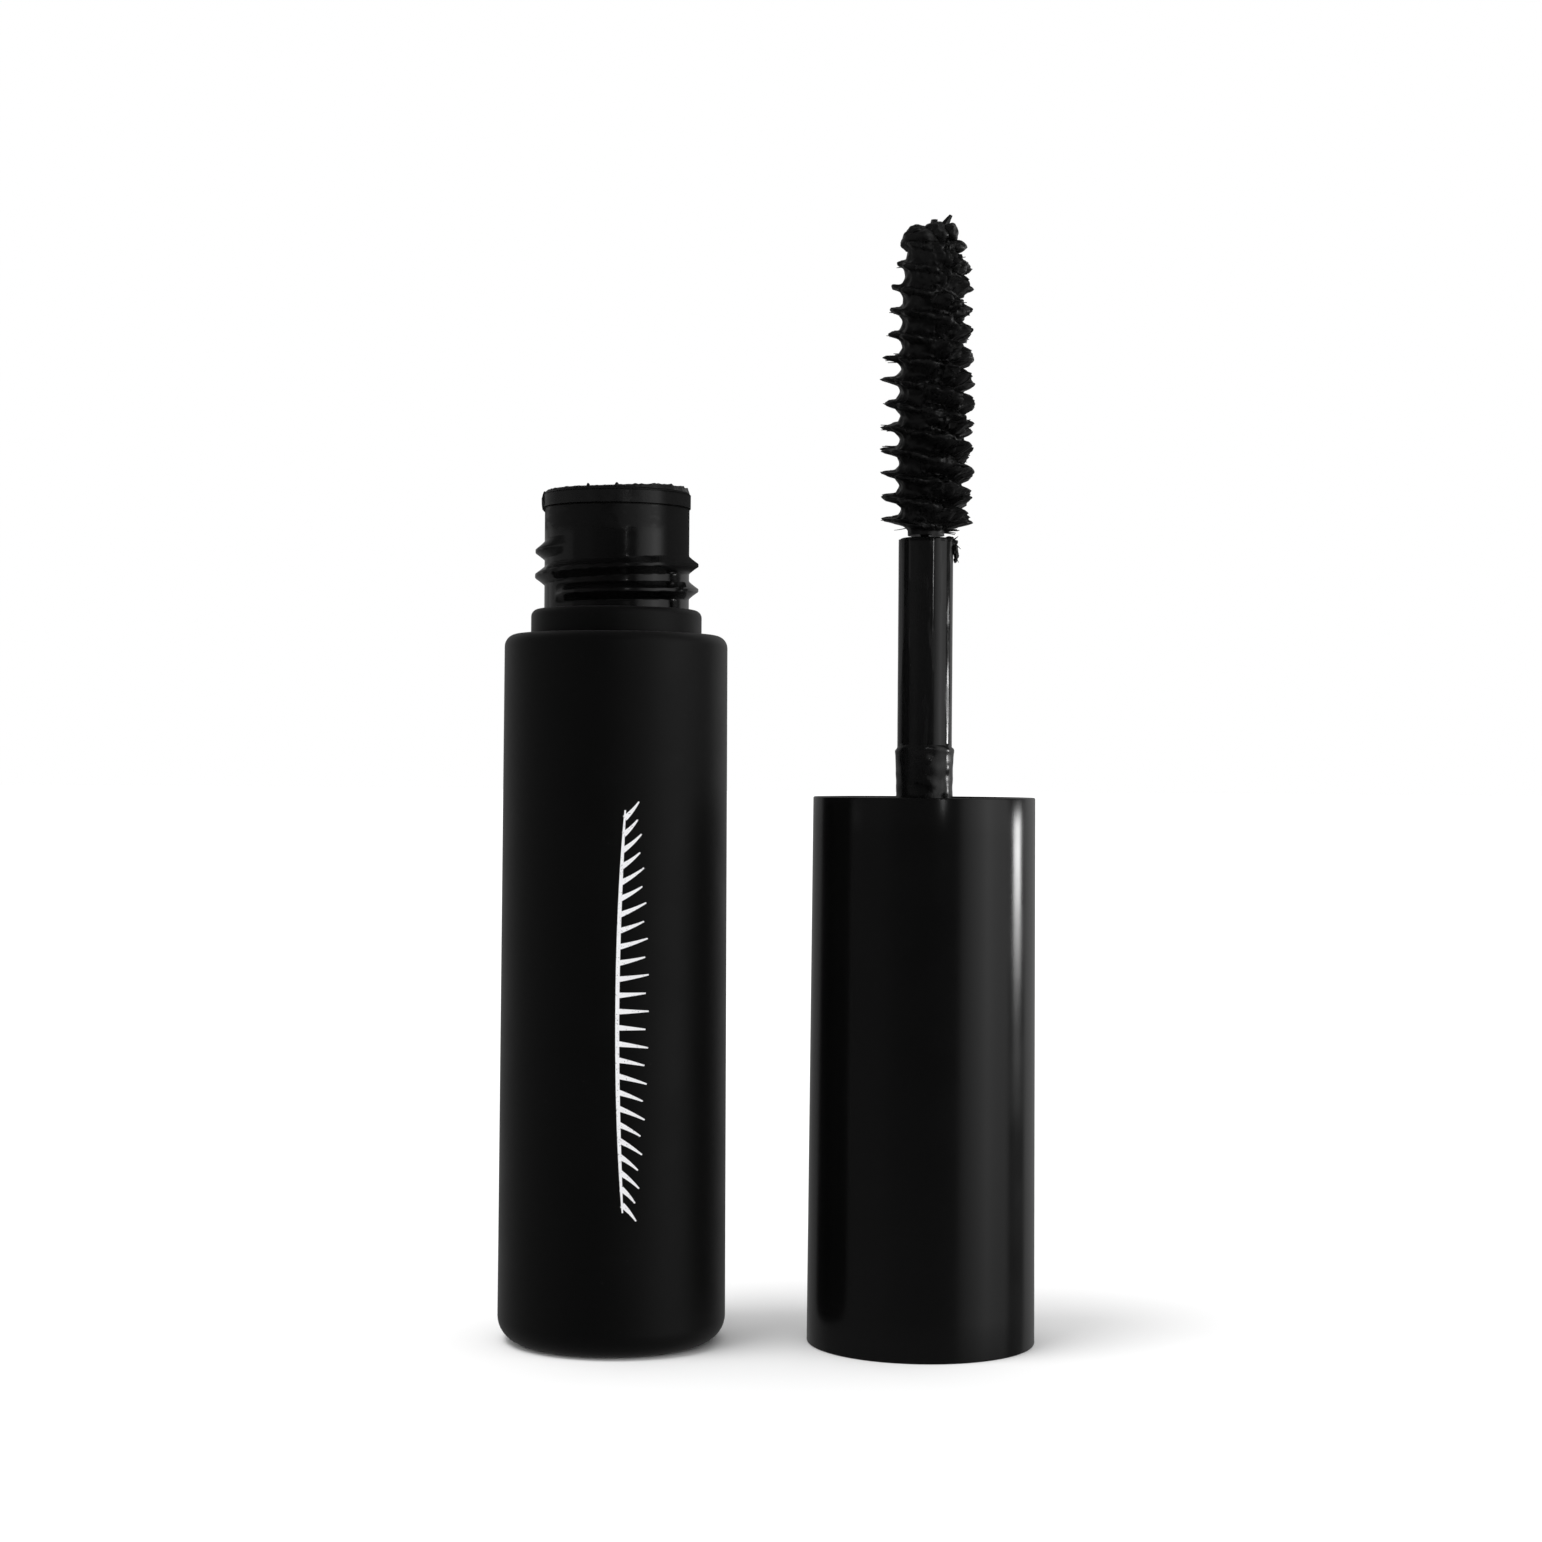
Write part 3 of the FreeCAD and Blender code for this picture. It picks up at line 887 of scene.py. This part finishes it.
def make_stray_hairs():
    """A few bent hairs under the brush's lowest fins."""
    rng = np.random.default_rng(STRAY_SEED)
    parts = []
    for _ in range(STRAY_HAIRS):
        angle = rng.uniform(-0.5, 0.45)
        out = np.array([math.cos(angle), math.sin(angle), 0])
        middle = np.array([CAP_X, 0, rng.uniform(64.35, 64.75)])
        tip = middle + out * rng.uniform(2.3, 2.9) + np.array([0, 0, rng.uniform(-0.05, 0.12)])
        bow = (0, 0, rng.uniform(-0.12, 0.12))
        parts.append(spike(middle + out * 1.1, tip, 0.07, 0.035, bow))
    left = np.array([CAP_X - 1.3, -0.2, 64.75])
    parts.append(spike(left, left + np.array([-1.25, -0.1, -0.35]), 0.05, 0.02, bow=(0, 0, 0.1)))
    points, faces = joined(parts)
    add_piece("stray_hairs", points, faces, [filament_nylon()], "cap_and_wand")


def make_tip_blob():
    """Product gathered at the tip, drawn up into a small peak on one side."""
    lumps = [
        ((-0.70, 0.0, 87.50), (1.60, 1.70, 1.10)),
        ((-1.15, -0.3, 88.20), (0.85, 0.95, 0.62)),
        ((0.40, -0.2, 88.05), (1.05, 1.20, 0.98)),
        ((0.62, 0.1, 88.50), (0.62, 0.80, 0.66)),
        ((1.45, 0.0, 88.20), (0.75, 0.95, 0.80)),
        ((2.00, 0.1, 87.15), (0.85, 0.80, 0.52)),
    ]
    axis = CAP_X + BRUSH_LEAN
    parts = blobs(axis, lumps, 60, 0.22, 4)
    peak = (axis + 1.45, -0.15, BRUSH_TOP - 0.08)
    parts.append(spike((axis + 1.0, -0.1, 88.7), peak, 0.42, 0.15, bow=(0.1, 0, 0)))
    points, faces = joined(parts)
    add_piece("tip_blob", points, faces, [wet_mascara()], "cap_and_wand")


# ============================ CAD nodes that show as they are =================================
def finish_cad_nodes():
    finishes = {
        "inner_cap": liner_plastic(),
        "cap_washer": seal_foam(),
        "mascara_paste": wet_mascara(),
    }
    for name, material in finishes.items():
        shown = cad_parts[name]
        for slot in shown.material_slots:
            slot.material = material


# ============================ stage ===========================================================
def make_floor():
    mesh = bpy.data.meshes.new("floor")
    corners = [(x * FLOOR_HALF, y * FLOOR_HALF, 0) for x, y in ((-1, -1), (1, -1), (1, 1), (-1, 1))]
    mesh.from_pydata(corners, [], [(0, 1, 2, 3)])
    floor = bpy.data.objects.new("floor", mesh)
    bpy.context.scene.collection.objects.link(floor)
    material = bpy.data.materials.new("pale_floor")
    material.use_nodes = True
    shader = material.node_tree.nodes["Principled BSDF"]
    shader.inputs["Base Color"].default_value = (FLOOR_TONE, FLOOR_TONE, FLOOR_TONE, 1)
    shader.inputs["Roughness"].default_value = 1.0
    shader.inputs["Specular IOR Level"].default_value = 0.0
    mesh.materials.append(material)
    floor.visible_glossy = False


def stops_ramp(tree, value, low, high, stops):
    """Brightness along stops of (position, brightness), for a value that runs from low to high."""
    share = node(tree, "ShaderNodeMapRange")
    tree.links.new(value, share.inputs["Value"])
    share.inputs["From Min"].default_value = low
    share.inputs["From Max"].default_value = high
    ramp = node(tree, "ShaderNodeValToRGB", {0: share.outputs["Result"]})
    elements = ramp.color_ramp.elements
    elements.remove(elements[-1])
    for index, (position, brightness) in enumerate(stops):
        place = (position - low) / (high - low)
        element = elements[0] if index == 0 else elements.new(place)
        element.position = place
        element.color = (brightness, brightness, brightness, 1)
    return ramp.outputs["Color"]


def make_world():
    """White to the eye and as fill light.

    Reflections see a dim room with a wide card on the right.
    """
    world = bpy.data.worlds.new("studio")
    bpy.context.scene.world = world
    world.use_nodes = True
    tree = world.node_tree
    tree.nodes.clear()
    direction = node(tree, "ShaderNodeTexCoord").outputs["Generated"]
    split = node(tree, "ShaderNodeSeparateXYZ", {0: direction})
    front = math_node(tree, "MULTIPLY", split.outputs["Y"], -1.0)
    azimuth = math_node(tree, "DEGREES", math_node(tree, "ARCTAN2", split.outputs["X"], front))
    elevation = math_node(tree, "DEGREES", math_node(tree, "ARCSINE", split.outputs["Z"]))
    around = stops_ramp(tree, azimuth, -180, 180, AROUND_STOPS)
    upward = stops_ramp(tree, elevation, -90, 90, UPWARD_STOPS)
    glow = stops_ramp(tree, elevation, -90, 90, GLOW_STOPS)
    room = math_node(tree, "MULTIPLY_ADD", around, upward, glow)
    rays = node(tree, "ShaderNodeLightPath")
    fill = math_node(tree, "MULTIPLY", rays.outputs["Is Diffuse Ray"], FILL)
    plain = math_node(tree, "ADD", rays.outputs["Is Camera Ray"], fill)
    reflected = math_node(tree, "MULTIPLY", rays.outputs["Is Glossy Ray"], room)
    background = node(tree, "ShaderNodeBackground",
                      {"Color": math_node(tree, "ADD", plain, reflected), "Strength": 1.0})
    output = node(tree, "ShaderNodeOutputWorld")
    tree.links.new(background.outputs[0], output.inputs["Surface"])


def add_panel(name, azimuth_deg, elevation_deg, size, power):
    """Rectangular area light, placed by its direction from the middle of the object."""
    data = bpy.data.lights.new(name, "AREA")
    data.shape = "RECTANGLE"
    data.size, data.size_y = size
    data.energy = power
    light = bpy.data.objects.new(name, data)
    a, e = math.radians(azimuth_deg), math.radians(elevation_deg)
    away = Vector((math.sin(a) * math.cos(e), -math.cos(a) * math.cos(e), math.sin(e)))
    light.location = Vector((0, 0, CAMERA_HEIGHT * MM)) + away * PANEL_DISTANCE
    light.rotation_mode = "QUATERNION"
    light.rotation_quaternion = away.to_track_quat("Z", "Y")
    light.visible_camera = False
    bpy.context.scene.collection.objects.link(light)
    return light


def light_only(light, names):
    """Keeps a light to the pieces named."""
    receivers = bpy.data.collections.new(light.name + "_receivers")
    for name in names:
        receivers.objects.link(bpy.data.objects[name])
    light.light_linking.receiver_collection = receivers


def make_lights():
    sun = bpy.data.lights.new("key", "SUN")
    sun.energy = SUN_STRENGTH
    sun.angle = SUN_ANGLE
    key = bpy.data.objects.new("key", sun)
    key.rotation_mode = "QUATERNION"
    key.rotation_quaternion = Vector(SUN_FROM).to_track_quat("Z", "Y")
    key.visible_glossy = False
    bpy.context.scene.collection.objects.link(key)
    for name, azimuth, elevation, size, power, lit in PANELS:
        light = add_panel(name, azimuth, elevation, size, power)
        if lit:
            light_only(light, lit)


def make_camera():
    data = bpy.data.cameras.new("camera")
    data.lens = LENS
    data.sensor_width = SENSOR_WIDTH
    data.clip_start = 0.01
    data.clip_end = 20.0
    camera = bpy.data.objects.new("camera", data)
    camera.location = (CAMERA_X * MM, -CAMERA_DISTANCE * MM, CAMERA_HEIGHT * MM)
    camera.rotation_euler = (math.pi / 2, -CAMERA_ROLL, 0)
    bpy.context.scene.collection.objects.link(camera)
    bpy.context.scene.camera = camera


make_bottle()
make_wiper()
make_rim_residue()
make_print()
make_outer_cap()
make_rod()
make_shoulder_clump()
make_brush_wire()
make_fins()
make_filaments()
make_stray_hairs()
make_tip_blob()
finish_cad_nodes()
make_floor()
make_world()
make_lights()
make_camera()
bpy.context.scene.view_settings.view_transform = "Standard"
